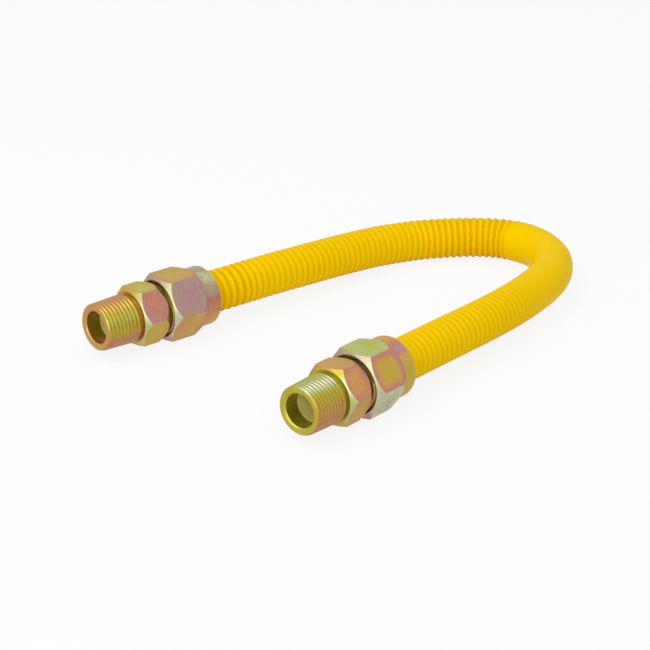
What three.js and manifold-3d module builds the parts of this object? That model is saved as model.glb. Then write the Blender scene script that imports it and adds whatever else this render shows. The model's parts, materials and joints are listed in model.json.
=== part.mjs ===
// Flexible gas hose: a plastic-coated corrugated steel tube, bent into a U and lying on the floor,
// with a swivelling flare nut and a male pipe adapter at each end.
// Millimetres, +Z up. The origin is the middle of the near nut's lower flat, which rests on the
// floor. +X runs along the near fitting, from its pipe end towards the hose.

import * as THREE from "three";
import { mergeVertices } from "three/addons/utils/BufferGeometryUtils.js";
import Module from "manifold-3d";

// Room left between faces that touch or slide on the real object.
const clearance = 0.3;

// Hose: the coated tube over its ridges, its bore, and the bare flared end inside each nut.
const hoseDiameter = 18.6;
const hoseBore = 13.4;
const bareEndDiameter = 15.9;
const bareEndWall = 0.5;
const bareEndOverlap = 1.5;
const flareDiameter = 21.4;

// Tapered pipe thread barrel, over its crests, with the relief groove that ends it.
const barrelLength = 17.5;
const barrelMouthDiameter = 20.4;
const barrelRootDiameter = 21.4;
const barrelChamfer = 0.35;
const barrelChamferLength = 0.5;
const reliefLength = 1.8;
const reliefDiameter = 19.4;
const adapterBore = 14;
const adapterBoreChamfer = 0.7;

// Adapter hexagon; its front and rear faces are the circles left by the turned bevels.
const adapterFlats = 24;
const adapterHexLength = 13;
const adapterFrontFace = 22.8;
const adapterRearFace = 23.6;

// Male flare thread behind the hexagon, and the 45 degree nose that presses on the flare.
const neckDiameter = 21.6;
const neckLength = 2;
const flareThreadDiameter = 23.8;
const flareThreadLength = 9.4;
const flareThreadRunIn = 0.8;

// Flare nut: hexagon and round collar in one piece, drawn up to this gap from the adapter.
const nutFlats = 27;
const nutHexLength = 18;
const nutFrontFace = 25.8;
const nutMouthChamfer = 0.4;
const throatLength = 3.3;
const collarLength = 7.9;
const collarWall = 3.45;
const collarRound = 2.2;
const tightGap = 1.4;

// Radial rise of the turned bevels on both hexagons for each axial millimetre.
const frontBevelRise = 1.1;
const rearBevelRise = 0.6;

// Where the far fitting lies, and the angle in degrees from the near fitting's axis to its own.
const farX = 6.8;
const farY = 112;
const farHeading = -9.2;

// How far each adapter's hexagon is turned from its nut's, in degrees round the fitting's axis.
const nearAdapterTurn = -5;
const farAdapterTurn = -2;

// The hose between the nuts: x, y, and how far its underside is off the floor.
const looseRoute = [
  [36.5, -0.1, 4.2],
  [49.1, -0.2, 4.2],
  [62.9, -0.1, 4],
  [77.9, 0.5, 3.5],
  [93, 1.7, 2.85],
  [107.3, 3.6, 2.1],
  [119.5, 5.8, 1.5],
  [131.2, 8.4, 0.95],
  [142.6, 12, 0.4],
  [153.7, 17.4, 0.05],
  [163, 25.1, 0],
  [169.3, 35, 0],
  [171.8, 44.9, 0],
  [170.9, 54, 0],
  [167.7, 61.8, 0],
  [163, 68.5, 0],
  [157.3, 74.6, 0],
  [150.5, 80.3, 0.05],
  [142.7, 85.4, 0.3],
  [133.6, 89.6, 0.6],
  [123, 93, 1.2],
  [111.7, 95.5, 1.75],
  [99.7, 97.4, 2.4],
  [87.7, 99, 3],
  [75.8, 100.5, 3.55],
  [64.3, 102.2, 4],
  [53, 104.1, 4.2],
  [39.8, 106.4, 4.2],
];

// Facets of the round forms.
const roundSides = 36;
const shoulderSteps = 4;
const hoseSides = 12;
const hoseSteps = 72;

// How far a cutting form runs past the face or radius that it has to clear.
const overrun = 1;

// Stations along a fitting's X axis, from the middle of the nut's hexagon.
const nutFront = -nutHexLength / 2;
const nutRear = nutHexLength / 2;
const collarEnd = nutRear + collarLength;
const adapterRear = nutFront - tightGap;
const adapterFront = adapterRear - adapterHexLength;
const mouth = adapterFront - barrelLength;
const neckEnd = adapterRear + neckLength;
const threadEnd = neckEnd + flareThreadLength;

// The cones are at 45 degrees, so their axial length equals their radial one, and a distance
// square to them is longer along the axis by the root of two.
const flareThreadRadius = flareThreadDiameter / 2;
const flareRadius = flareDiameter / 2;
const bareEndRadius = bareEndDiameter / 2;
const noseRadius = bareEndRadius - bareEndWall;
const noseTip = threadEnd + flareThreadRadius - noseRadius;
const flareInner = noseTip + clearance * Math.SQRT2;
const flareOuter = flareInner + bareEndWall * Math.SQRT2;
const seat = flareOuter + clearance * Math.SQRT2;

// Station at which the 45 degree cone that passes the nose radius at start has the given radius.
const onCone = (start, radius) => start + noseRadius - radius;

const nutBoreRadius = flareThreadRadius + clearance;
const throatRadius = bareEndRadius + clearance;
const throatFront = onCone(seat, throatRadius);
const throatEnd = throatFront + throatLength;
const hoseStart = throatEnd + clearance;
const collarBoreRadius = hoseDiameter / 2 + clearance;
const collarRadius = collarBoreRadius + collarWall;

// Both fittings lie on a flat of their nut.
const axisHeight = nutFlats / 2;
const nearPlace = new THREE.Matrix4().makeTranslation(0, 0, axisHeight);
const farPlace = new THREE.Matrix4()
  .makeRotationZ(THREE.MathUtils.degToRad(farHeading))
  .setPosition(farX, farY, axisHeight);

const zinc = { metalness: 0.85, roughness: 0.35 };
const nutFinish = new THREE.MeshStandardMaterial({ color: 0xb5a467, ...zinc });
const adapterFinish = new THREE.MeshStandardMaterial({ color: 0xbda35a, ...zinc });
const coating = new THREE.MeshStandardMaterial({ color: 0xf6c60a, metalness: 0, roughness: 0.3 });

const wasm = await Module();
wasm.setup();

// A closed geometry as a solid. Triangles that shrink to a line on the axis are dropped.
function solid(geometry) {
  geometry.deleteAttribute("normal");
  geometry.deleteAttribute("uv");
  const merged = mergeVertices(geometry);
  const corners = [];
  for (let i = 0; i < merged.index.count; i += 3) {
    const triangle = [0, 1, 2].map((k) => merged.index.getX(i + k));
    if (new Set(triangle).size === 3) corners.push(...triangle);
  }
  return new wasm.Manifold(
    new wasm.Mesh({
      numProp: 3,
      vertProperties: new Float32Array(merged.attributes.position.array),
      triVerts: new Uint32Array(corners),
    }),
  );
}

function named(name, shape, material) {
  const { vertProperties, triVerts } = shape.getMesh();
  const geometry = new THREE.BufferGeometry();
  geometry.setAttribute("position", new THREE.BufferAttribute(vertProperties, 3));
  geometry.setIndex(new THREE.BufferAttribute(triVerts, 1));
  geometry.computeVertexNormals();
  const mesh = new THREE.Mesh(geometry, material);
  mesh.name = name;
  return mesh;
}

// A form turned about X from [station, radius] pairs, which run towards +X on its outside.
function turned(profile) {
  const points = profile.map(([station, radius]) => new THREE.Vector2(radius, station));
  return new THREE.LatheGeometry(points, roundSides).rotateZ(-Math.PI / 2);
}

// A hexagonal bar along X, one flat down, with a turned bevel at each end.
function hexagon(front, rear, flats, frontFace, rearFace) {
  const cornerRadius = flats / Math.sqrt(3);
  const clear = cornerRadius + overrun;
  const frontBevel = (clear - frontFace / 2) / frontBevelRise;
  const rearBevel = (clear - rearFace / 2) / rearBevelRise;
  const length = rear - front + 2 * overrun;
  const bar = new THREE.CylinderGeometry(
    cornerRadius, cornerRadius, length, 6, 1, false, Math.PI / 6,
  );
  bar.rotateZ(-Math.PI / 2).translate((front + rear) / 2, 0, 0);
  const frontCut = turned([
    [front, 0],
    [front, frontFace / 2],
    [front + frontBevel, clear],
    [rear + 2 * overrun, clear],
    [rear + 2 * overrun, 0],
  ]);
  const rearCut = turned([
    [front - 2 * overrun, 0],
    [front - 2 * overrun, clear],
    [rear - rearBevel, clear],
    [rear, rearFace / 2],
    [rear, 0],
  ]);
  return solid(bar).intersect(solid(frontCut)).intersect(solid(rearCut));
}

function makeNut() {
  const shoulder = [];
  for (let i = 0; i <= shoulderSteps; i++) {
    const turn = (i / shoulderSteps) * (Math.PI / 2);
    shoulder.push([
      collarEnd - collarRound * (1 - Math.sin(turn)),
      collarRadius - collarRound * (1 - Math.cos(turn)),
    ]);
  }
  const collar = turned([[0, 0], [0, collarRadius], ...shoulder, [collarEnd, 0]]);
  const bore = turned([
    [nutFront - overrun, 0],
    [nutFront - overrun, nutBoreRadius + nutMouthChamfer + overrun],
    [nutFront + nutMouthChamfer, nutBoreRadius],
    [onCone(seat, nutBoreRadius), nutBoreRadius],
    [throatFront, throatRadius],
    [throatEnd, throatRadius],
    [throatEnd, collarBoreRadius],
    [collarEnd + overrun, collarBoreRadius],
    [collarEnd + overrun, 0],
  ]);
  return hexagon(nutFront, nutRear, nutFlats, nutFrontFace, 2 * collarRadius)
    .add(solid(collar))
    .subtract(solid(bore));
}

function makeAdapter() {
  const boreRadius = adapterBore / 2;
  const mouthRadius = barrelMouthDiameter / 2;
  const rootRadius = barrelRootDiameter / 2;
  const reliefRadius = reliefDiameter / 2;
  const neckRadius = neckDiameter / 2;
  const reliefStart = adapterFront - reliefLength;
  const stem = turned([
    [mouth, 0],
    [mouth, mouthRadius - barrelChamfer],
    [mouth + barrelChamferLength, mouthRadius],
    [reliefStart, rootRadius],
    [reliefStart + rootRadius - reliefRadius, reliefRadius],
    [adapterFront + overrun, reliefRadius],
    [adapterRear - overrun, neckRadius],
    [neckEnd, neckRadius],
    [neckEnd + flareThreadRunIn, flareThreadRadius],
    [threadEnd, flareThreadRadius],
    [noseTip, noseRadius],
    [noseTip, 0],
  ]);
  const bore = turned([
    [mouth - overrun, 0],
    [mouth - overrun, boreRadius + adapterBoreChamfer + overrun],
    [mouth + adapterBoreChamfer, boreRadius],
    [noseTip + overrun, boreRadius],
    [noseTip + overrun, 0],
  ]);
  return hexagon(adapterFront, adapterRear, adapterFlats, adapterFrontFace, adapterRearFace)
    .add(solid(stem))
    .subtract(solid(bore));
}

// The thin steel end of the tube, flared to lie between the adapter's nose and the nut's seat.
function bareEnd(place) {
  const flareBack = onCone(flareOuter, bareEndRadius);
  const inHose = hoseStart + bareEndOverlap;
  const ring = turned([
    [onCone(flareInner, flareRadius), flareRadius],
    [onCone(flareOuter, flareRadius), flareRadius],
    [flareBack, bareEndRadius],
    [inHose, bareEndRadius],
    [inHose, noseRadius],
    [flareInner, noseRadius],
    [onCone(flareInner, flareRadius), flareRadius],
  ]);
  return solid(ring.applyMatrix4(place));
}

function circle(radius) {
  const curve = new THREE.EllipseCurve(0, 0, radius, radius, 0, 2 * Math.PI);
  return curve.getPoints(hoseSides).slice(1);
}

function makeHose() {
  const straight = [hoseStart, collarEnd];
  const inNearNut = straight.map((x) => new THREE.Vector3(x, 0, 0).applyMatrix4(nearPlace));
  const inFarNut = straight.map((x) => new THREE.Vector3(x, 0, 0).applyMatrix4(farPlace));
  const loose = looseRoute.map(([x, y, rise]) => new THREE.Vector3(x, y, hoseDiameter / 2 + rise));
  const route = new THREE.CatmullRomCurve3([...inNearNut, ...loose, ...inFarNut.reverse()]);
  const section = new THREE.Shape(circle(hoseDiameter / 2));
  section.holes.push(new THREE.Path(circle(hoseBore / 2)));
  const tube = new THREE.ExtrudeGeometry(section, {
    steps: hoseSteps,
    extrudePath: route,
    bevelEnabled: false,
  });
  return solid(tube).add(bareEnd(nearPlace)).add(bareEnd(farPlace));
}

const nut = makeNut();
const adapter = makeAdapter();

function fitting(side, place, adapterTurn) {
  const group = new THREE.Group();
  const pipeAdapter = named(`${side}_pipe_adapter`, adapter, adapterFinish);
  pipeAdapter.rotateX(THREE.MathUtils.degToRad(adapterTurn));
  group.applyMatrix4(place);
  group.add(named(`${side}_flare_nut`, nut, nutFinish));
  group.add(pipeAdapter);
  return group;
}

const group = new THREE.Group();
group.add(named("corrugated_hose", makeHose(), coating));
group.add(fitting("near", nearPlace, nearAdapterTurn));
group.add(fitting("far", farPlace, farAdapterTurn));

export default group;
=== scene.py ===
"""Flexible gas hose: a yellow coated corrugated tube bent into a U, with a plated flare nut and
pipe adapter at each end. Metres, +Z up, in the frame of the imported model."""

import json
import math
from collections import namedtuple

import bmesh
import bpy
from bpy.props import FloatProperty, FloatVectorProperty, IntProperty, PointerProperty
from mathutils import Matrix, Vector


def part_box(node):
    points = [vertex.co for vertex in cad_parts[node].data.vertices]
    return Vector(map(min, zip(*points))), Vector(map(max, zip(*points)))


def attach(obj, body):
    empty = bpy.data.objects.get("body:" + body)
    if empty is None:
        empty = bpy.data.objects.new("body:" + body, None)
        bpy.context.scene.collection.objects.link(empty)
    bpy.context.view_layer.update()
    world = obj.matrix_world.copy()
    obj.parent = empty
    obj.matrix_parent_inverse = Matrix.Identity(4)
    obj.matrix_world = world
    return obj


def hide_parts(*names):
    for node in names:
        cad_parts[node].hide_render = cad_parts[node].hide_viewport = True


bl_info = {
    "name": "Flexible gas hose",
    "version": (1, 0, 0),
    "blender": (4, 5, 0),
    "location": "View3D > Sidebar > Gas Hose",
    "description": "Builds a coated corrugated gas hose with plated nuts and pipe adapters",
    "category": "Object",
}

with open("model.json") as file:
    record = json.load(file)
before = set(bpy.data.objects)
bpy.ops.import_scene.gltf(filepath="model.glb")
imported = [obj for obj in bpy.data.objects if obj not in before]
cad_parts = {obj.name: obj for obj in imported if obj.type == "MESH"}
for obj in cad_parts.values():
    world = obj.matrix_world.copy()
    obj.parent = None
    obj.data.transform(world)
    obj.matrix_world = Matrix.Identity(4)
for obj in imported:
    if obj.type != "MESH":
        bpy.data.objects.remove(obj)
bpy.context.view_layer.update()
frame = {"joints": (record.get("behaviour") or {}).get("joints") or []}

MM = 0.001

# The near fitting lies along +X; its nut and adapter give the sizes that all pieces share.
NUT_LOW, NUT_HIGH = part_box("near_flare_nut")
ADAPTER_LOW, ADAPTER_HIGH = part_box("near_pipe_adapter")
AXIS_HEIGHT = NUT_HIGH[2] / 2
NUT_FRONT = NUT_LOW[0]
COLLAR_END = NUT_HIGH[0]
MOUTH = ADAPTER_LOW[0]
NOSE_TIP = ADAPTER_HIGH[0]

JOINTS = {joint["name"]: joint for joint in frame["joints"]}

# The middle of the hose between the nuts: x, y, and how far its underside is off the floor.
LOOSE_ROUTE = [
    (0.0365, -0.0001, 0.0042),
    (0.0491, -0.0002, 0.0042),
    (0.0629, -0.0001, 0.004),
    (0.0779, 0.0005, 0.0035),
    (0.093, 0.0017, 0.00285),
    (0.1073, 0.0036, 0.0021),
    (0.1195, 0.0058, 0.0015),
    (0.1312, 0.0084, 0.00095),
    (0.1426, 0.012, 0.0004),
    (0.1537, 0.0174, 0.00005),
    (0.163, 0.0251, 0.0),
    (0.1693, 0.035, 0.0),
    (0.1718, 0.0449, 0.0),
    (0.1709, 0.054, 0.0),
    (0.1677, 0.0618, 0.0),
    (0.163, 0.0685, 0.0),
    (0.1573, 0.0746, 0.0),
    (0.1505, 0.0803, 0.00005),
    (0.1427, 0.0854, 0.0003),
    (0.1336, 0.0896, 0.0006),
    (0.123, 0.093, 0.0012),
    (0.1117, 0.0955, 0.00175),
    (0.0997, 0.0974, 0.0024),
    (0.0877, 0.099, 0.003),
    (0.0758, 0.1005, 0.00355),
    (0.0643, 0.1022, 0.004),
    (0.053, 0.1041, 0.0042),
    (0.0398, 0.1064, 0.0042),
]

# Where the hose's coating begins inside a nut, along the fitting from the middle of its hexagon.
HOSE_START = 9.806 * MM
# Between the flare and the adapter's nose, and between the nut's throat and the coating.
FIT_GAP = 0.3 * MM
# How far the steel end's inside reaches into the coated hose.
STEEL_TUCK = 1.5 * MM
# On the coating's end face a ring of points stands this far inside the edge.
END_RING = 0.5 * MM

# How the ridges come and go: over how far they rise at each nut, from the bend's end up to where
# they are deep and from where they are calm, and over how far the wide ridges change.
NEAR_RISE, FAR_RISE = 3 * MM, 1.5 * MM
DEEP_UNTIL, CALM_FROM = 30 * MM, 65 * MM
WIDE_FADE, WIDE_CALM = 4 * MM, 6 * MM

# Rows of faces along each thread, and steps round the collar's rim.
PIPE_ROWS, FLARE_ROWS = 84, 64
RIM_STEPS = 8

# An eased corner takes at most this share of a short side.
EASE_LIMIT = 0.4
MERGE_DISTANCE = MM / 1000

# One corner of a turned outline: station along the axis, radius, how far its corner is eased,
# how many rows follow it before the next corner, and the zone of the surface that follows.
Turn = namedtuple("Turn", "station radius ease rows zone")

# The plating's film on a fitting, from 0 to 1 through its colours. A list's values are evenly
# spaced round the axis from 30 degrees on: the first three of six face 30, 90 (up) and 150.
# Borders are what a flat gains towards its edges. A nut has no barrel.
Plating = namedtuple("Plating", "flats borders bevel rear collar face barrel", defaults=[()])

NUT_PLATING = {
    "near": Plating(
        # The fourth flat's pale 0.95, facing down at 210 degrees, is a painted reflection of the
        # white floor.
        flats=(0.12, 0.15, 0.28, 0.95, 0.4, 0.5),
        borders=(0.08, -0.07, 0.52, 0.04, 0.1, 0.1),
        # The bevel's pale 1.0 at 150 and 210 degrees is a painted highlight in front and a painted
        # reflection of the floor below.
        bevel=(0.85, 0.9, 1.0, 1.0, 0.5, 0.8),
        rear=(0.5, 0.55, 0.7, 0.9, 0.5, 0.5),
        collar=(0.36, 0.4, 0.42, 0.76, 0.4, 0.24, 0.34, 0.5, 0.5, 0.4, 0.36, 0.36),
        face=0.8,
    ),
    "far": Plating(
        flats=(0.4, 0.34, 0.79, 0.42, 0.5, 0.2),
        borders=(0.2, 0.24, 0.06, 0.14, 0.1, 0.1),
        bevel=(0.85, 0.88, 1.0, 1.0, 0.7, 0.7),
        rear=(0.6, 0.6, 0.85, 0.6, 0.6, 0.6),
        collar=(0.9, 0.9, 0.92, 0.93, 0.88, 0.62, 0.48, 0.5, 0.5, 0.6, 0.8, 0.9),
        face=0.88,
    ),
}
ADAPTER_PLATING = {
    "near": Plating(
        flats=(0.4, 0.4, 0.54, 0.4, 0.35, 0.3),
        borders=(0.1, 0.1, 0.14, 0.1, 0.1, 0.1),
        bevel=(0.5, 0.4, 0.02, 0.06, 0.3, 0.5),
        rear=(0.4, 0.36, 0.34, 0.3, 0.4, 0.4),
        collar=(0.3, 0.36, 0.16, 0.14, 0.2, 0.3),
        # The barrel's pale 0.02 at 120 degrees is a painted highlight; its other colours round the
        # axis are partly the film's own and partly painted reflection.
        barrel=(0.4, 0.3, 0.13, 0.02, 0.26, 0.44, 0.58, 0.7, 0.6, 0.5, 0.4, 0.4),
        face=0.2,
    ),
    "far": Plating(
        flats=(0.3, 0.18, 0.66, 0.34, 0.5, 0.6),
        borders=(0.1, 0.2, 0.12, 0.08, 0.1, 0.1),
        bevel=(0.3, 0.24, 0.0, 0.06, 0.3, 0.4),
        rear=(0.3, 0.2, 0.5, 0.4, 0.3, 0.4),
        collar=(0.3, 0.36, 0.3, 0.3, 0.5, 0.5),
        barrel=(0.6, 0.6, 0.5, 0.38, 0.18, 0.22, 0.62, 0.7, 0.66, 0.6, 0.6, 0.6),
        face=0.5,
    ),
}
# Inside the bores the film is an even olive.
BORE_FILM = 0.18
# Where a flat's border starts and would be full, as a share of the way from middle to edge.
BORDER_START, BORDER_FULL = 0.35, 1.1


def measure(name, description, default):
    """A length that a user can set, in metres."""
    return FloatProperty(name=name, description=description, default=default, unit="LENGTH")


class HoseSizes(bpy.types.PropertyGroup):
    diameter: measure("Diameter", "Over the coated ridges", 18.6 * MM)
    bore: measure("Bore", "Inside diameter", 13.4 * MM)
    pitch: measure("Ridge pitch", "From ridge to ridge", 3.2 * MM)
    wide_pitch: measure("Wide ridge pitch", "From ridge to ridge next to the far nut", 3.9 * MM)
    wide_length: measure(
        "Wide ridges' length", "How far the wide ridges reach from the far nut", 19 * MM
    )
    depth: measure("Groove depth", "Between two ridges", 0.75 * MM)
    bend_start: measure(
        "Bend start", "Where the near branch's ridges have faded, from the hose's near end", 122 * MM
    )
    bend_end: measure(
        "Bend end", "Where the far branch's ridges begin, from the hose's near end", 183 * MM
    )
    near_fade: measure("Near fade", "Over which ridges fade", 48 * MM)
    far_fade: measure("Far fade", "Over which ridges return", 11 * MM)
    bend_share: FloatProperty(
        name="Ridges in the bend",
        description="Share of the groove depth that is left in the bend",
        default=0.08,
        min=0,
        max=1,
        subtype="FACTOR",
    )
    calm_share: FloatProperty(
        name="Ridges in the branches",
        description="Share of the groove depth that shows along the straight branches",
        default=0.5,
        min=0,
        max=1,
        subtype="FACTOR",
    )
    plain_end: measure("Plain end", "Smooth length at the near nut", 4 * MM)
    rows: IntProperty(
        name="Rows in a ridge", description="Rows of faces in one ridge", default=12, min=4
    )
    columns: IntProperty(name="Columns", description="Faces round the hose", default=48, min=12)
    bare_diameter: measure("Bare end", "Of the uncoated steel end", 15.9 * MM)
    bare_wall: measure("Bare wall", "Thickness of the steel", 0.5 * MM)
    flare_diameter: measure("Flare", "Over the flared rim", 21.4 * MM)


class NutSizes(bpy.types.PropertyGroup):
    flats: measure("Across flats", "For the spanner", 2 * AXIS_HEIGHT)
    hex_length: measure("Hexagon length", "Along the axis", 18 * MM)
    front_face: measure("Front face", "Inside the turned bevel", 25.8 * MM)
    collar_diameter: measure("Collar", "Outside diameter", 26.1 * MM)
    collar_bore: measure("Collar bore", "Round the coated hose", 19.2 * MM)
    collar_round: measure("Collar rounding", "Radius of its rim", 2.2 * MM)
    throat_diameter: measure("Throat", "Round the bare steel end", 16.5 * MM)
    throat_length: measure("Throat length", "Along the axis", 3.3 * MM)
    bore: measure("Threaded bore", "Over the flare thread", 24.4 * MM)
    mouth_chamfer: measure("Mouth chamfer", "At the open end", 0.4 * MM)


class AdapterSizes(bpy.types.PropertyGroup):
    flats: measure("Across flats", "For the spanner", 24 * MM)
    hex_length: measure("Hexagon length", "Along the axis", 13 * MM)
    front_face: measure("Front face", "Inside the front bevel", 22.8 * MM)
    rear_face: measure("Rear face", "Inside the rear bevel", 23.6 * MM)
    barrel_length: measure("Barrel length", "From the hexagon", 17.5 * MM)
    mouth_diameter: measure("Barrel mouth", "Over the thread", 20.4 * MM)
    root_diameter: measure("Barrel root", "Over the thread", 21.4 * MM)
    chamfer: measure("Barrel chamfer", "Radial", 0.6 * MM)
    chamfer_length: measure("Chamfer length", "Along the axis", 0.7 * MM)
    relief_length: measure("Relief length", "Groove at the hexagon", 1.8 * MM)
    relief_diameter: measure("Relief diameter", "Of the groove", 19.4 * MM)
    bore: measure("Bore", "Gas passage", 14 * MM)
    bore_chamfer: measure("Bore chamfer", "At the mouth", 0.7 * MM)
    neck_diameter: measure("Neck", "Behind the hexagon", 21.6 * MM)
    neck_length: measure("Neck length", "Along the axis", 2 * MM)
    flare_diameter: measure("Flare thread", "Over its crests", 23.8 * MM)
    flare_length: measure("Flare thread length", "Along the axis", 9.4 * MM)
    run_in: measure("Thread run-in", "Chamfer of the thread", 0.8 * MM)
    nose_diameter: measure("Nose", "At the tip of the cone", 14.9 * MM)
    pipe_pitch: measure("Pipe thread pitch", "Crest to crest", 1.814 * MM)
    pipe_depth: measure("Pipe thread depth", "Crest to root", 0.3 * MM)
    flare_pitch: measure("Flare thread pitch", "Crest to crest", 1.5875 * MM)
    flare_depth: measure("Flare thread depth", "Crest to root", 0.8 * MM)
    near_turn: FloatProperty(
        name="Near hexagon's turn",
        description="How far the near adapter is turned from its nut",
        default=math.radians(-5),
        unit="ROTATION",
    )
    far_turn: FloatProperty(
        name="Far hexagon's turn",
        description="How far the far adapter is turned from its nut",
        default=math.radians(-2),
        unit="ROTATION",
    )


class SharedSizes(bpy.types.PropertyGroup):
    front_rise: FloatProperty(
        name="Front bevel rise", description="Radial rise of a hexagon's front bevel", default=1.1
    )
    rear_rise: FloatProperty(
        name="Rear bevel rise", description="Radial rise of a hexagon's rear bevel", default=0.6
    )
    corner_round: measure("Corner rounding", "Of a hexagon's corners", 0.35 * MM)
    edge: measure("Broken edge", "Ease of machined edges", 0.16 * MM)


class Finish(bpy.types.PropertyGroup):
    coating: FloatVectorProperty(
        name="Coating",
        description="On the ridges",
        default=(0.9, 0.585, 0.001),
        min=0,
        max=1,
        subtype="COLOR",
    )
    # Painted shade: the coating is coloured darker in the grooves between ridges.
    groove: FloatVectorProperty(
        name="Grooves",
        description="The coating between ridges",
        default=(0.76, 0.42, 0.001),
        min=0,
        max=1,
        subtype="COLOR",
    )
    shine: FloatVectorProperty(
        name="Shine",
        description="Tint of the coating's highlights",
        default=(1.0, 0.78, 0.1),
        min=0,
        max=1,
        subtype="COLOR",
    )
    plating_roughness: FloatProperty(
        name="Plating roughness", description="Of the zinc", default=0.42, min=0, max=1
    )
    bore_metallic: FloatProperty(
        name="Bore sheen", description="Metallic share in the bores", default=0.2, min=0, max=1
    )
    bore_strength: FloatProperty(
        name="Bore colour", description="Saturation of the bores", default=0.7, min=0, max=1
    )
    # Painted light: the bores' colour is made brighter than the plating so that they look lit.
    bore_painted_light: FloatProperty(
        name="Bore shade", description="Brightness of the bores", default=1.9, min=0, max=2
    )


class Studio(bpy.types.PropertyGroup):
    eye: FloatVectorProperty(
        name="Camera",
        description="Where the camera stands",
        default=(-0.63906, -0.51906, 0.3856),
        unit="LENGTH",
    )
    aim: FloatVectorProperty(
        name="Aim",
        description="The point in the middle of the picture",
        default=(0.03077, 0.04727, 0.0135),
        unit="LENGTH",
    )
    lens: FloatProperty(
        name="Lens", description="Focal length in millimetres", default=125.945, min=1
    )
    floor_size: measure("Floor", "Side of the floor", 12)


GROUPS = {
    "gas_hose_sizes": HoseSizes,
    "gas_hose_nut": NutSizes,
    "gas_hose_adapter": AdapterSizes,
    "gas_hose_shared": SharedSizes,
    "gas_hose_finish": Finish,
    "gas_hose_studio": Studio,
}


# Node trees


class TreeMaker:
    """Adds nodes to a tree, with a value or another node's output for each of their inputs."""

    def __init__(self, tree):
        self.tree = tree

    def add(self, kind, inputs=None, **settings):
        node = self.tree.nodes.new(kind)
        for name, value in settings.items():
            setattr(node, name, value)
        for socket, value in (inputs or {}).items():
            if isinstance(value, bpy.types.NodeSocket):
                self.tree.links.new(value, node.inputs[socket])
            else:
                node.inputs[socket].default_value = value
        return node

    def math(self, operation, *values):
        node = self.add("ShaderNodeMath", dict(enumerate(values)), operation=operation)
        return node.outputs[0]

    def ease(self, value, low, high, start=0.0, end=1.0):
        """A smooth step from start to end while value goes from low to high."""
        node = self.add(
            "ShaderNodeMapRange",
            {"Value": value, "From Min": low, "From Max": high, "To Min": start, "To Max": end},
            interpolation_type="SMOOTHSTEP",
        )
        return node.outputs["Result"]

    def over_noise(self, noise, start, end):
        """A smooth step from start to end over the values that a noise mostly takes."""
        return self.ease(noise, 0.3, 0.7, start, end)

    def mix_colour(self, share, first, second):
        # The colours are the mix node's inputs 6 and 7, and their mix is its output 2.
        return self.add("ShaderNodeMix", {0: share, 6: first, 7: second}, data_type="RGBA").outputs[2]


def make_ridge_tree():
    """Cuts grooves into a surface, a pitch apart along its "run" attribute."""
    tree = bpy.data.node_groups.new("Ridges", "GeometryNodeTree")
    tree.is_modifier = True
    sockets = tree.interface
    sockets.new_socket("Surface", in_out="INPUT", socket_type="NodeSocketGeometry")
    for name, default in (("Pitch", 3 * MM), ("Depth", MM), ("Crest", 0.05), ("Root", 0.95)):
        socket = sockets.new_socket(name, in_out="INPUT", socket_type="NodeSocketFloat")
        socket.default_value = default
    sockets.new_socket("Skin", in_out="INPUT", socket_type="NodeSocketMaterial")
    sockets.new_socket("Bare skin", in_out="INPUT", socket_type="NodeSocketMaterial")
    sockets.new_socket("Surface", in_out="OUTPUT", socket_type="NodeSocketGeometry")

    make = TreeMaker(tree)
    given = make.add("NodeGroupInput").outputs

    def attribute(name, kind="FLOAT"):
        node = make.add("GeometryNodeInputNamedAttribute", {"Name": name}, data_type=kind)
        return node.outputs["Attribute"]

    turns = make.math("DIVIDE", attribute("run"), given["Pitch"])
    share = make.math("FRACT", turns)
    centred = make.math("SUBTRACT", make.math("MULTIPLY", share, 2.0), 1.0)
    groove = make.ease(make.math("ABSOLUTE", centred), given["Crest"], given["Root"])
    cut = make.math("MULTIPLY", make.math("MULTIPLY", groove, given["Depth"]), attribute("ridged"))
    deeper = make.math("MAXIMUM", make.math("SUBTRACT", cut, attribute("already")), 0.0)
    inwards = make.add(
        "ShaderNodeVectorMath",
        {0: attribute("outward", "FLOAT_VECTOR"), "Scale": make.math("MULTIPLY", deeper, -1.0)},
        operation="SCALE",
    )
    marked = make.add(
        "GeometryNodeStoreNamedAttribute",
        {
            "Geometry": given["Surface"],
            "Name": "groove",
            "Value": make.math("MULTIPLY", groove, attribute("ridged")),
        },
        data_type="FLOAT",
        domain="POINT",
    )
    moved = make.add(
        "GeometryNodeSetPosition",
        {"Geometry": marked.outputs[0], "Offset": inwards.outputs["Vector"]},
    )
    whole = make.add("GeometryNodeRealizeInstances", {"Geometry": moved.outputs[0]})
    skinned = make.add(
        "GeometryNodeSetMaterial", {"Geometry": whole.outputs[0], "Material": given["Skin"]}
    )
    is_bare = make.math("GREATER_THAN", attribute("bare"), 0.5)
    finished = make.add(
        "GeometryNodeSetMaterial",
        {"Geometry": skinned.outputs[0], "Selection": is_bare, "Material": given["Bare skin"]},
    )
    make.add("NodeGroupOutput", {"Surface": finished.outputs[0]})
    return tree


def cut_ridges(piece, pitch, depth, crest, root, skin, bare):
    """Runs the ridge tree on a piece and keeps the result as its plain mesh.

    Crest and root are where a groove's side starts and ends, from ridge to groove. The bare skin
    goes where the piece's "bare" mark is set."""
    tree = bpy.data.node_groups.get("Ridges") or make_ridge_tree()
    ridges = piece.modifiers.new("Ridges", "NODES")
    ridges.node_group = tree
    values = {
        "Pitch": pitch,
        "Depth": depth,
        "Crest": crest,
        "Root": root,
        "Skin": skin,
        "Bare skin": bare,
    }
    for item in tree.interface.items_tree:
        if item.in_out == "INPUT" and item.name in values:
            ridges[item.identifier] = values[item.name]
    settle(piece)


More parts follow.
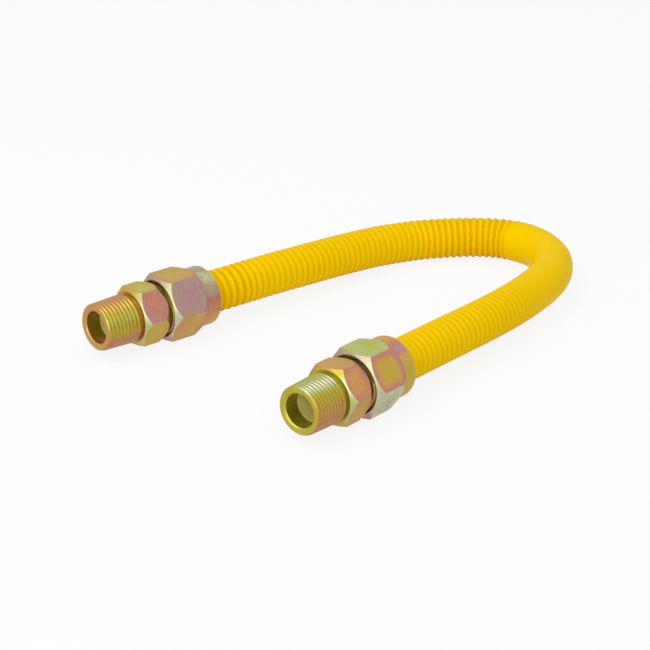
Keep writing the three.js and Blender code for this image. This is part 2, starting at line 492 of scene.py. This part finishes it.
def settle(piece):
    """Replaces a piece's mesh by what its modifiers make of it, and removes them."""
    graph = bpy.context.evaluated_depsgraph_get()
    result = bpy.data.meshes.new_from_object(
        piece.evaluated_get(graph), preserve_all_data_layers=True, depsgraph=graph
    )
    draft = piece.data
    piece.modifiers.clear()
    piece.data = result
    bpy.data.meshes.remove(draft)
    result.name = piece.name


# Shells built of rings

Ring = namedtuple("Ring", "points marks")
# What a fitting's points carry: the first two for the plating, the rest for its threads and bore.
FITTING_MARKS = ("film", "station", "run", "ridged", "already", "bare", "outward")


def shell(name, rings):
    """A closed ring-shaped shell: each ring of points is joined to the next, the last to the first.

    A ring's marks are the values of its points' attributes, by name."""
    mesh = bpy.data.meshes.new(name)
    columns = len(rings[0].points)
    faces = []
    for ring in range(len(rings)):
        low = ring * columns
        high = (ring + 1) % len(rings) * columns
        for left in range(columns):
            right = (left + 1) % columns
            faces.append((low + left, low + right, high + right, high + left))
    mesh.from_pydata([point for ring in rings for point in ring.points], [], faces)
    for mark in rings[0].marks:
        values = [value for ring in rings for value in ring.marks[mark]]
        if isinstance(values[0], Vector):
            layer = mesh.attributes.new(mark, "FLOAT_VECTOR", "POINT")
            layer.data.foreach_set("vector", [x for value in values for x in value])
        else:
            layer = mesh.attributes.new(mark, "FLOAT", "POINT")
            layer.data.foreach_set("value", values)

    tidy = bmesh.new()
    tidy.from_mesh(mesh)
    bmesh.ops.remove_doubles(tidy, verts=tidy.verts, dist=MERGE_DISTANCE)
    bmesh.ops.dissolve_degenerate(tidy, edges=tidy.edges, dist=MERGE_DISTANCE)
    bmesh.ops.recalc_face_normals(tidy, faces=tidy.faces)
    tidy.to_mesh(mesh)
    tidy.free()
    mesh.shade_smooth()
    piece = bpy.data.objects.new(name, mesh)
    bpy.context.scene.collection.objects.link(piece)
    return piece


def smooth_step(value, low, high):
    share = min(max((value - low) / (high - low), 0.0), 1.0)
    return share * share * (3 - 2 * share)


def blend_round(values, angle):
    """A value between those that stand evenly round the axis, the first at 30 degrees."""
    count = len(values)
    place = ((math.degrees(angle) - 30) * count / 360) % count
    before = int(place) % count
    margin = 0.15
    share = smooth_step(place - int(place), margin, 1 - margin)
    return values[before] * (1 - share) + values[(before + 1) % count] * share


# Hose


def centripetal_route(points, samples=24):
    """Points along the smooth curve through the given ones."""
    ends = [2 * points[0] - points[1], *points, 2 * points[-1] - points[-2]]
    line = []
    for a, b, c, d in zip(ends, ends[1:], ends[2:], ends[3:]):
        first, middle, last = (math.sqrt((q - p).length) for p, q in ((a, b), (b, c), (c, d)))
        leaving = (b - a) / first - (c - a) / (first + middle) + (c - b) / middle
        arriving = (c - b) / middle - (d - b) / (middle + last) + (d - c) / last
        leaving *= middle
        arriving *= middle
        for step in range(samples):
            t = step / samples
            line.append(
                b
                + leaving * t
                + (3 * (c - b) - 2 * leaving - arriving) * t**2
                + (2 * (b - c) + leaving + arriving) * t**3
            )
    line.append(points[-1])
    return line


def even_route(line, spacing):
    """The same line with its points evenly spaced, and its length."""
    lengths = [0.0]
    for a, b in zip(line, line[1:]):
        lengths.append(lengths[-1] + (b - a).length)
    count = round(lengths[-1] / spacing)
    points = []
    segment = 0
    for step in range(count + 1):
        target = lengths[-1] * step / count
        while segment < len(line) - 2 and lengths[segment + 1] < target:
            segment += 1
        share = (target - lengths[segment]) / (lengths[segment + 1] - lengths[segment])
        points.append(line[segment].lerp(line[segment + 1], share))
    return points, lengths[-1]


def fitting_place(side):
    """The near or far fitting's frame: X along its axis towards the hose, Z up."""
    joint = JOINTS[f"{side}_nut_turn"]
    along = Vector(joint["axis"])
    across = Vector((0, 0, 1)).cross(along)
    place = Matrix((along, across, Vector((0, 0, 1)))).transposed().to_4x4()
    place.translation = Vector(joint["pos_m"])
    return place


def hose_line(sizes):
    """The hose's middle line, from inside the near nut to inside the far one."""
    near, far = (
        [fitting_place(side) @ Vector((x, 0, 0)) for x in (HOSE_START, COLLAR_END)]
        for side in ("near", "far")
    )
    radius = sizes.diameter / 2
    loose = [Vector((x, y, radius + rise)) for x, y, rise in LOOSE_ROUTE]
    return centripetal_route([*near, *loose, *reversed(far)])


def ring_across(centre, along, radius, columns):
    """Points of a circle square to a direction, and their directions from its middle."""
    side = Vector((0, 0, 1)).cross(along).normalized()
    up = along.cross(side).normalized()
    outward = []
    for column in range(columns):
        turn = 2 * math.pi * column / columns
        outward.append(math.cos(turn) * side + math.sin(turn) * up)
    return [centre + radius * direction for direction in outward], outward


def bare_end_outline(sizes):
    """The flared steel end, from the coating's face over its outside to the bore."""
    outer = sizes.bare_diameter / 2
    inner = outer - sizes.bare_wall
    rim = sizes.flare_diameter / 2
    front = NOSE_TIP + FIT_GAP * math.sqrt(2)
    back = front + sizes.bare_wall * math.sqrt(2)
    return [
        (HOSE_START, sizes.diameter / 2 - END_RING, 0),
        (HOSE_START, outer, 1),
        (back + inner - outer, outer, 1),
        (back + inner - rim, rim, 1),
        (front + inner - rim, rim, 1),
        (front, inner, 1),
        (HOSE_START + STEEL_TUCK, inner, 1),
        (HOSE_START + STEEL_TUCK, sizes.bore / 2, 0),
    ]


def ridge_share(sizes, place, from_far):
    """The share of the groove depth at a place along the hose, and before the far collar's end."""
    plain = COLLAR_END - HOSE_START + sizes.plain_end
    grown = smooth_step(place, plain, plain + NEAR_RISE) * smooth_step(from_far, 0.0, FAR_RISE)
    bend = smooth_step(place, sizes.bend_start - sizes.near_fade, sizes.bend_start)
    bend *= 1 - smooth_step(place, sizes.bend_end, sizes.bend_end + sizes.far_fade)
    calm = max(
        1 - smooth_step(place, sizes.bend_start, sizes.bend_end),
        smooth_step(place, sizes.bend_end + DEEP_UNTIL, sizes.bend_end + CALM_FROM),
    )
    calm *= smooth_step(from_far, sizes.wide_length - WIDE_FADE, sizes.wide_length + WIDE_CALM)
    return grown * (1 - bend * (1 - sizes.bend_share)) * (1 - calm * (1 - sizes.calm_share))


def make_hose_piece(sizes, coating, steel):
    """The whole tube: ridged outside, bare flared ends and plain bore, as one closed shell."""
    points, length = even_route(hose_line(sizes), sizes.pitch / sizes.rows)
    rings = []

    def add(centre, along, radius, run=0.0, ridged=0.0, bare=0.0):
        circle, outward = ring_across(centre, along, radius, sizes.columns)
        count = sizes.columns
        rings.append(
            Ring(
                circle,
                {
                    "run": [run] * count,
                    "ridged": [ridged] * count,
                    "already": [0.0] * count,
                    "bare": [float(bare)] * count,
                    "outward": outward,
                },
            )
        )

    def direction(index):
        return (points[min(index + 1, len(points) - 1)] - points[max(index - 1, 0)]).normalized()

    run = 0.0
    step = length / (len(points) - 1)
    for index, centre in enumerate(points):
        place = step * index
        from_far = length - (COLLAR_END - HOSE_START) - place
        ridged = ridge_share(sizes, place, from_far)
        add(centre, direction(index), sizes.diameter / 2, run, ridged)
        wide = 1 - smooth_step(from_far, sizes.wide_length - WIDE_FADE, sizes.wide_length)
        run += step * (1 - wide * (1 - sizes.pitch / sizes.wide_pitch))

    far = fitting_place("far")
    far_along = -(far.to_3x3() @ Vector((1, 0, 0)))
    for station, radius, bare in bare_end_outline(sizes):
        add(far @ Vector((station, 0, 0)), far_along, radius, bare=bare)
    # The plain bore needs only one ring for each ridge.
    for index in range(len(points) - 1 - 2 * sizes.rows, sizes.rows, -sizes.rows):
        add(points[index], direction(index), sizes.bore / 2)
    near = fitting_place("near")
    near_along = near.to_3x3() @ Vector((1, 0, 0))
    for station, radius, bare in reversed(bare_end_outline(sizes)):
        add(near @ Vector((station, 0, 0)), near_along, radius, bare=bare)

    piece = shell("gas_hose_tube", rings)
    cut_ridges(piece, sizes.pitch, sizes.depth, crest=0.02, root=1.0, skin=coating, bare=steel)
    piece.data.set_sharp_from_angle(angle=math.radians(50))
    return piece, points, length


# Nuts and adapters


def hexagon_columns(flats, corner_round, across=10, round_steps=4):
    """Angles round a hexagon with rounded corners, and its radius at each."""
    apothem = flats / 2
    centre = (apothem - corner_round) / math.cos(math.pi / 6)
    reach = math.atan2(corner_round / 2, centre + corner_round * math.cos(math.pi / 6))
    columns = []
    for corner in range(6):
        middle = corner * math.pi / 3
        for step in range(round_steps):
            off = reach * (2 * step / round_steps - 1)
            arc = centre * math.cos(off) + math.sqrt(corner_round**2 - (centre * math.sin(off)) ** 2)
            columns.append((middle + off, arc))
        flat = math.pi / 3 - 2 * reach
        for step in range(across):
            off = reach + flat * step / across
            columns.append((middle + off, apothem / math.cos(off - math.pi / 6)))
    return columns


def eased_outline(turns):
    """The outline's points as (station, radius, zone, share of that zone), corners eased."""
    count = len(turns)
    corners = []
    for index, turn in enumerate(turns):
        here = Vector((turn.station, turn.radius))
        if turn.ease == 0:
            corners.append([here])
            continue
        before, after = (
            Vector((turns[other % count].station, turns[other % count].radius)) - here
            for other in (index - 1, index + 1)
        )
        near, far = (
            here + way.normalized() * min(turn.ease, EASE_LIMIT * way.length)
            if way.length > 0
            else here.copy()
            for way in (before, after)
        )
        corners.append([near, (near + 2 * here + far) / 4, far])
    outline = []
    for index, turn in enumerate(turns):
        start = corners[index][-1]
        end = corners[(index + 1) % count][0]
        outline += [(point, turns[index - 1].zone, 1.0) for point in corners[index][:-1]]
        for row in range(turn.rows + 1):
            share = row / (turn.rows + 1)
            outline.append((start.lerp(end, share), turn.zone, share))
    return outline


def film_at(plating, zone, angle, share):
    """The plating's film at a point of a fitting, before the material's own mottling."""
    if zone == "flat":
        sector = int(math.degrees(angle) // 60) % 6
        across = abs(math.degrees(angle) % 60 - 30) / 30
        edge = smooth_step(max(across, abs(2 * share - 1)), BORDER_START, BORDER_FULL)
        return plating.flats[sector] + plating.borders[sector] * edge
    if zone == "bore":
        return BORE_FILM
    if zone == "face":
        return plating.face
    return blend_round(getattr(plating, zone), angle)


def turned_rings(turns_at, columns, place, plating, thread_marks):
    """Rings of a fitting's shell. turns_at gives its outline for a column's hexagon radius."""
    outlines = [eased_outline(turns_at(radius)) for _, radius in columns]
    rings = []
    for row in range(len(outlines[0])):
        points = []
        marks = {name: [] for name in FITTING_MARKS}
        for (angle, _), outline in zip(columns, outlines):
            point, zone, share = outline[row]
            away = Vector((0, math.cos(angle), math.sin(angle)))
            points.append(place @ (Vector((point.x, 0, 0)) + point.y * away))
            run, ridged, already = thread_marks(point, angle, zone)
            values = (
                film_at(plating, zone, angle, share),
                point.x,
                run,
                ridged,
                already,
                float(zone == "bore"),
                place.to_3x3() @ away,
            )
            for name, value in zip(marks, values):
                marks[name].append(value)
        rings.append(Ring(points, marks))
    return rings


def finish_fitting(piece):
    """Broad faces keep flat shading between their eased edges."""
    piece.data.set_sharp_from_angle(angle=math.radians(40))
    weighted = piece.modifiers.new("Weighted normals", "WEIGHTED_NORMAL")
    weighted.keep_sharp = True
    settle(piece)


def nut_turns(sizes, shared, hex_radius):
    """The nut's outline in one column, from its mouth over the outside and back along its bore."""
    front = NUT_FRONT
    rear = front + sizes.hex_length
    collar = sizes.collar_diameter / 2
    front_bevel = front + (hex_radius - sizes.front_face / 2) / shared.front_rise
    rear_bevel = rear - (hex_radius - collar) / shared.rear_rise
    rim = []
    for step in range(RIM_STEPS + 1):
        turn = step / RIM_STEPS * math.pi / 2
        station = COLLAR_END - sizes.collar_round * (1 - math.sin(turn))
        radius = collar - sizes.collar_round * (1 - math.cos(turn))
        rim.append(Turn(station, radius, 0, 0, "collar"))
    throat = sizes.throat_diameter / 2
    throat_end = HOSE_START - FIT_GAP
    throat_front = throat_end - sizes.throat_length
    bore = sizes.bore / 2
    return [
        Turn(front, bore + sizes.mouth_chamfer, shared.edge / 2, 0, "face"),
        Turn(front, sizes.front_face / 2, shared.edge, 1, "bevel"),
        Turn(front_bevel, hex_radius, shared.edge, 14, "flat"),
        Turn(rear_bevel, hex_radius, shared.edge, 1, "rear"),
        Turn(rear, collar, shared.edge, 4, "collar"),
        *rim,
        Turn(COLLAR_END, sizes.collar_bore / 2, shared.edge, 3, "collar"),
        Turn(throat_end, sizes.collar_bore / 2, 0, 0, "collar"),
        Turn(throat_end, throat, 0, 0, "collar"),
        Turn(throat_front, throat, 0, 1, "collar"),
        Turn(throat_front + throat - bore, bore, 0, 3, "face"),
        Turn(front + sizes.mouth_chamfer, bore, 0, 0, "face"),
    ]


def make_nut_piece(side, sizes, shared, plating_skin):
    columns = hexagon_columns(sizes.flats, shared.corner_round)
    rings = turned_rings(
        lambda hex_radius: nut_turns(sizes, shared, hex_radius),
        columns,
        fitting_place(side),
        NUT_PLATING[side],
        lambda point, angle, zone: (0.0, 0.0, 0.0),
    )
    piece = shell(f"{side}_nut_turned", rings)
    piece.data.materials.append(plating_skin)
    finish_fitting(piece)
    return piece


def adapter_turns(sizes, shared, hex_radius):
    """The adapter's outline in one column, from its mouth over the outside and back by its bore."""
    front = MOUTH + sizes.barrel_length
    rear = front + sizes.hex_length
    relief = sizes.relief_diameter / 2
    relief_start = front - sizes.relief_length
    root = sizes.root_diameter / 2
    mouth = sizes.mouth_diameter / 2
    rear_radius = min(sizes.rear_face / 2, hex_radius)
    front_bevel = front + (hex_radius - sizes.front_face / 2) / shared.front_rise
    rear_bevel = rear - (hex_radius - rear_radius) / shared.rear_rise
    neck_end = rear + sizes.neck_length
    thread = sizes.flare_diameter / 2
    thread_end = neck_end + sizes.flare_length
    bore = sizes.bore / 2
    return [
        Turn(MOUTH, bore + sizes.bore_chamfer, 2 * shared.edge, 1, "face"),
        Turn(MOUTH, mouth - sizes.chamfer, 2 * shared.edge, 8, "barrel"),
        Turn(MOUTH + sizes.chamfer_length, mouth, 0, PIPE_ROWS, "barrel"),
        Turn(relief_start, root, 0, 5, "barrel"),
        Turn(relief_start + root - relief, relief, 0, 1, "collar"),
        Turn(front, relief, 0, 1, "face"),
        Turn(front, sizes.front_face / 2, shared.edge, 1, "bevel"),
        Turn(front_bevel, hex_radius, shared.edge, 10, "flat"),
        Turn(rear_bevel, hex_radius, shared.edge, 1, "rear"),
        Turn(rear, rear_radius, shared.edge, 1, "collar"),
        Turn(rear, sizes.neck_diameter / 2, 0, 1, "collar"),
        Turn(neck_end, sizes.neck_diameter / 2, 0, 0, "barrel"),
        Turn(neck_end + sizes.run_in, thread, 0, FLARE_ROWS, "barrel"),
        Turn(thread_end, thread, 0, 8, "barrel"),
        Turn(NOSE_TIP, sizes.nose_diameter / 2, 0, 0, "face"),
        Turn(NOSE_TIP, bore, 0, 6, "bore"),
        Turn(MOUTH + sizes.bore_chamfer, bore, 0, 0, "face"),
    ]


def adapter_threads(sizes):
    """Marks for the pipe thread on the barrel and the flare thread behind the hexagon."""
    front = MOUTH + sizes.barrel_length
    relief_start = front - sizes.relief_length
    taper = (sizes.root_diameter - sizes.mouth_diameter) / 2
    taper /= relief_start - MOUTH - sizes.chamfer_length
    thread = sizes.flare_diameter / 2

    def marks(point, angle, zone):
        if zone != "barrel":
            return 0.0, 0.0, 0.0
        if point.x < front:
            crest = sizes.mouth_diameter / 2 + taper * (point.x - MOUTH - sizes.chamfer_length)
            run = point.x - sizes.pipe_pitch * angle / (2 * math.pi)
            return run, 1.0, max(crest - point.y, 0.0)
        run = point.x - sizes.flare_pitch * angle / (2 * math.pi)
        run *= sizes.pipe_pitch / sizes.flare_pitch
        return run, sizes.flare_depth / sizes.pipe_depth, max(thread - point.y, 0.0)

    return marks


def make_adapter_piece(side, sizes, shared, plating_skin, painted_light_bore_skin):
    columns = hexagon_columns(sizes.flats, shared.corner_round)
    rings = turned_rings(
        lambda hex_radius: adapter_turns(sizes, shared, hex_radius),
        columns,
        fitting_place(side) @ Matrix.Rotation(getattr(sizes, f"{side}_turn"), 4, "X"),
        ADAPTER_PLATING[side],
        adapter_threads(sizes),
    )
    piece = shell(f"{side}_adapter_turned", rings)
    cut_ridges(
        piece,
        sizes.pipe_pitch,
        sizes.pipe_depth,
        crest=0.12,
        root=0.92,
        skin=plating_skin,
        bare=painted_light_bore_skin,
    )
    finish_fitting(piece)
    return piece


# Materials


def new_material(name):
    material = bpy.data.materials.new(name)
    material.use_nodes = True
    tree = material.node_tree
    tree.nodes.clear()
    return material, TreeMaker(tree)


def make_coating(finish):
    """Golden-yellow plastic with painted shade in the grooves, and a faint orange-peel surface."""
    material, make = new_material("Yellow coating")
    place = make.add("ShaderNodeTexCoord").outputs["Object"]
    groove = make.add("ShaderNodeAttribute", attribute_name="groove").outputs["Fac"]
    cloud = make.add("ShaderNodeTexNoise", {"Vector": place, "Scale": 38.0, "Detail": 3.0})
    # Painted shade: the grooves get the darker colour, a little unevenly.
    deep = make.math("MULTIPLY", groove, make.over_noise(cloud.outputs["Fac"], 0.85, 1.0))
    colour = make.mix_colour(deep, (*finish.coating, 1), (*finish.groove, 1))
    peel = make.add("ShaderNodeTexNoise", {"Vector": place, "Scale": 900.0, "Detail": 2.0})
    bump = make.add(
        "ShaderNodeBump", {"Height": peel.outputs["Fac"], "Strength": 0.06, "Distance": 0.0002}
    )
    skin = make.add(
        "ShaderNodeBsdfPrincipled",
        {
            "Base Color": colour,
            "Roughness": make.over_noise(cloud.outputs["Fac"], 0.3, 0.4),
            "Normal": bump.outputs["Normal"],
            "Metallic": 0.05,
            "Specular IOR Level": 0.01,
            "Specular Tint": (*finish.shine, 1),
        },
    )
    make.add("ShaderNodeOutputMaterial", {"Surface": skin.outputs[0]})
    return material


def make_bare_steel():
    """The bright, slightly brushed stainless end of the tube."""
    material, make = new_material("Bare steel end")
    place = make.add("ShaderNodeTexCoord").outputs["Object"]
    grain = make.add("ShaderNodeTexNoise", {"Vector": place, "Scale": 1500.0, "Detail": 3.0})
    skin = make.add(
        "ShaderNodeBsdfPrincipled",
        {
            "Base Color": (0.62, 0.61, 0.58, 1),
            "Metallic": 1.0,
            "Roughness": make.over_noise(grain.outputs["Fac"], 0.22, 0.36),
        },
    )
    make.add("ShaderNodeOutputMaterial", {"Surface": skin.outputs[0]})
    return material


# Fine turning marks on the plating, per metre, and the painted shade that darkens the threads.
TURNING_MARKS = 9000.0
THREAD_PAINTED_SHADE = 0.88

# Colours of the film as it thickens, in the material's own linear values.
FILM_COLOURS = [
    (0.0, (0.56, 0.54, 0.32)),
    (0.06, (0.43, 0.49, 0.22)),
    (0.15, (0.45, 0.45, 0.075)),
    (0.26, (0.5, 0.37, 0.045)),
    (0.4, (0.53, 0.34, 0.075)),
    (0.54, (0.55, 0.28, 0.1)),
    (0.68, (0.51, 0.21, 0.15)),
    (0.8, (0.42, 0.25, 0.26)),
    (0.9, (0.4, 0.31, 0.19)),
    (1.0, (0.52, 0.52, 0.32)),
]


def make_plating(name, finish, offset, metallic=1.0, painted_brightness=1.0, saturation=1.0):
    """Yellow-dichromate zinc: film colours in patches, fine turning marks and a satin sheen."""
    material, make = new_material(name)
    place = make.add("ShaderNodeTexCoord").outputs["Object"]
    moved = make.add(
        "ShaderNodeMapping", {"Vector": place, "Location": (offset, 2 * offset, -offset)}
    ).outputs[0]
    film = make.add("ShaderNodeAttribute", attribute_name="film").outputs["Fac"]
    station = make.add("ShaderNodeAttribute", attribute_name="station").outputs["Fac"]
    patches = make.add(
        "ShaderNodeTexNoise",
        {"Vector": moved, "Scale": 110.0, "Detail": 3.0, "Roughness": 0.55, "Distortion": 0.4},
    ).outputs["Fac"]
    specks = make.add(
        "ShaderNodeTexNoise", {"Vector": moved, "Scale": 650.0, "Detail": 4.0, "Roughness": 0.6}
    ).outputs["Fac"]

    def sway(noise, size):
        return make.math("MULTIPLY", make.math("SUBTRACT", noise, 0.5), size)

    value = make.math("ADD", make.math("ADD", film, sway(patches, 0.3)), sway(specks, 0.08))
    ramp = make.add("ShaderNodeValToRGB", {"Fac": value})
    stops = ramp.color_ramp.elements
    while len(stops) < len(FILM_COLOURS):
        stops.new(0.5)
    for stop, (where, colour) in zip(stops, FILM_COLOURS):
        stop.position = where
        stop.color = (*colour, 1)
    marks = make.add(
        "ShaderNodeTexNoise",
        {"W": make.math("MULTIPLY", station, TURNING_MARKS), "Scale": 1.0, "Detail": 2.0},
        noise_dimensions="1D",
    ).outputs["Fac"]
    thread = make.add("ShaderNodeAttribute", attribute_name="ridged").outputs["Fac"]
    # A brightness above 1 is painted light, as in the bores.
    shade = make.ease(specks, 0.25, 0.75, 0.94 * painted_brightness, 1.06 * painted_brightness)
    # Painted shade: the threaded parts are coloured darker than the rest of the plating.
    shade = make.math("MULTIPLY", shade, make.ease(thread, 0.0, 1.0, 1.0, THREAD_PAINTED_SHADE))
    lit = make.add(
        "ShaderNodeHueSaturation",
        {"Color": ramp.outputs["Color"], "Saturation": saturation, "Value": shade},
    ).outputs["Color"]
    rough = make.math("ADD", make.over_noise(patches, -0.05, 0.07), finish.plating_roughness)
    height = make.math("ADD", make.math("MULTIPLY", marks, 0.5), specks)
    bump = make.add("ShaderNodeBump", {"Height": height, "Strength": 0.06, "Distance": 0.0001})
    skin = make.add(
        "ShaderNodeBsdfPrincipled",
        {
            "Base Color": lit,
            "Metallic": metallic,
            "Roughness": rough,
            "Normal": bump.outputs["Normal"],
        },
    )
    make.add("ShaderNodeOutputMaterial", {"Surface": skin.outputs[0]})
    return material


def seen_as_white(make, share):
    """Share of plain white that the camera, metal and glass see in place of the lit surface."""
    path = make.add("ShaderNodeLightPath").outputs
    seen = make.math("MAXIMUM", path["Is Camera Ray"], path["Is Glossy Ray"])
    seen = make.math("MAXIMUM", seen, path["Is Transmission Ray"])
    return make.math("MULTIPLY", seen, share)


# Operators


# Each lamp's place from the point that the camera aims at, and its watts.
LAMPS = {
    "Key lamp": ((-0.5, 0.1, 1.1), 5.5),
    "Front lamp": ((-1.0, -0.4, 0.3), 3.5),
    "Side lamp": ((0.9, -0.3, 0.6), 0.4),
}
LAMP_SIZE = 0.9
# The world's light on the part, and the floor's grey and its share that is seen as white.
WORLD_LIGHT = 0.64
FLOOR_GREY, FLOOR_WHITE = 0.85, 0.86


class GASHOSE_OT_stage(bpy.types.Operator):
    """Camera, white floor, soft lamps and pale world"""

    bl_idname = "gashose.stage"
    bl_label = "Stage"

    def execute(self, context):
        studio = context.scene.gas_hose_studio
        self.camera(context.scene, studio)
        self.floor(context.scene, studio)
        self.world(context.scene)
        for name, (away, watts) in LAMPS.items():
            self.lamp(context.scene, name, Vector(studio.aim), Vector(away), watts)
        context.scene.view_settings.view_transform = "Standard"
        return {"FINISHED"}

    def camera(self, scene, studio):
        data = bpy.data.cameras.new("Camera")
        data.lens = studio.lens
        data.clip_start = 0.01
        camera = bpy.data.objects.new("Camera", data)
        camera.location = studio.eye
        sight = Vector(studio.aim) - Vector(studio.eye)
        camera.rotation_euler = sight.to_track_quat("-Z", "Y").to_euler()
        scene.collection.objects.link(camera)
        scene.camera = camera

    def floor(self, scene, studio):
        half = studio.floor_size / 2
        mesh = bpy.data.meshes.new("floor")
        corners = [(-half, -half, 0), (half, -half, 0), (half, half, 0), (-half, half, 0)]
        mesh.from_pydata(corners, [], [(0, 1, 2, 3)])
        material, make = new_material("White floor")
        lit = make.add("ShaderNodeBsdfDiffuse", {"Color": (FLOOR_GREY, FLOOR_GREY, FLOOR_GREY, 1)})
        white = make.add("ShaderNodeEmission", {"Color": (1, 1, 1, 1), "Strength": 1.0})
        surface = make.add(
            "ShaderNodeMixShader",
            {0: seen_as_white(make, FLOOR_WHITE), 1: lit.outputs[0], 2: white.outputs[0]},
        )
        make.add("ShaderNodeOutputMaterial", {"Surface": surface.outputs[0]})
        mesh.materials.append(material)
        floor = bpy.data.objects.new("floor", mesh)
        scene.collection.objects.link(floor)

    def world(self, scene):
        world = bpy.data.worlds.new("Pale studio")
        world.use_nodes = True
        world.node_tree.nodes.clear()
        make = TreeMaker(world.node_tree)
        seen = seen_as_white(make, 1 - WORLD_LIGHT)
        strength = make.math("ADD", seen, WORLD_LIGHT)
        glow = make.add("ShaderNodeBackground", {"Color": (1, 1, 1, 1), "Strength": strength})
        make.add("ShaderNodeOutputWorld", {"Surface": glow.outputs[0]})
        scene.world = world

    def lamp(self, scene, name, aim, away, watts):
        data = bpy.data.lights.new(name, "AREA")
        data.shape = "DISK"
        data.size = LAMP_SIZE
        data.energy = watts
        lamp = bpy.data.objects.new(name, data)
        lamp.location = aim + away
        lamp.rotation_euler = (-away).to_track_quat("-Z", "Y").to_euler()
        scene.collection.objects.link(lamp)


class GASHOSE_OT_hose(bpy.types.Operator):
    """The coated corrugated tube with its bare flared ends"""

    bl_idname = "gashose.hose"
    bl_label = "Hose"

    def execute(self, context):
        sizes = context.scene.gas_hose_sizes
        coating = make_coating(context.scene.gas_hose_finish)
        piece, points, length = make_hose_piece(sizes, coating, make_bare_steel())
        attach(piece, "hose")
        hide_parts("corrugated_hose")
        leaving = fitting_place("near") @ Vector((COLLAR_END, 0, 0))
        return {"FINISHED"}


class GASHOSE_OT_nuts(bpy.types.Operator):
    """The two flare nuts with their round collars"""

    bl_idname = "gashose.nuts"
    bl_label = "Flare nuts"

    def execute(self, context):
        scene = context.scene
        skin = make_plating("Nut plating", scene.gas_hose_finish, offset=0.37)
        for side in ("near", "far"):
            piece = make_nut_piece(side, scene.gas_hose_nut, scene.gas_hose_shared, skin)
            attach(piece, f"{side}_nut")
            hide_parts(f"{side}_flare_nut")
        return {"FINISHED"}


class GASHOSE_OT_adapters(bpy.types.Operator):
    """The two male pipe adapters with their threads"""

    bl_idname = "gashose.adapters"
    bl_label = "Pipe adapters"

    def execute(self, context):
        scene = context.scene
        finish = scene.gas_hose_finish
        skin = make_plating("Adapter plating", finish, offset=0.81)
        # The bores get a brighter, paler, less metallic copy of the plating: painted light inside
        # them.
        painted_light_bore_skin = make_plating(
            "Bore plating",
            finish,
            offset=0.81,
            metallic=finish.bore_metallic,
            painted_brightness=finish.bore_painted_light,
            saturation=finish.bore_strength,
        )
        for side in ("near", "far"):
            piece = make_adapter_piece(
                side, scene.gas_hose_adapter, scene.gas_hose_shared, skin, painted_light_bore_skin
            )
            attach(piece, f"{side}_adapter")
            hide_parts(f"{side}_pipe_adapter")
        return {"FINISHED"}


class GASHOSE_PT_panel(bpy.types.Panel):
    """Buttons for the pieces, and their sizes and finish"""

    bl_label = "Gas hose"
    bl_idname = "GASHOSE_PT_panel"
    bl_space_type = "VIEW_3D"
    bl_region_type = "UI"
    bl_category = "Gas Hose"

    def draw(self, context):
        layout = self.layout
        for operator in OPERATORS:
            layout.operator(operator.bl_idname)
        for name, group in GROUPS.items():
            box = layout.box()
            box.label(text=group.__name__)
            for setting in group.__annotations__:
                box.prop(getattr(context.scene, name), setting)


OPERATORS = (GASHOSE_OT_stage, GASHOSE_OT_hose, GASHOSE_OT_nuts, GASHOSE_OT_adapters)
CLASSES = (*GROUPS.values(), *OPERATORS, GASHOSE_PT_panel)


def register():
    for cls in CLASSES:
        bpy.utils.register_class(cls)
    for name, group in GROUPS.items():
        setattr(bpy.types.Scene, name, PointerProperty(type=group))


def unregister():
    for name in GROUPS:
        delattr(bpy.types.Scene, name)
    for cls in reversed(CLASSES):
        bpy.utils.unregister_class(cls)


def main():
    register()
    bpy.ops.gashose.stage()
    bpy.ops.gashose.hose()
    bpy.ops.gashose.nuts()
    bpy.ops.gashose.adapters()


if __name__ == "__main__":
    main()
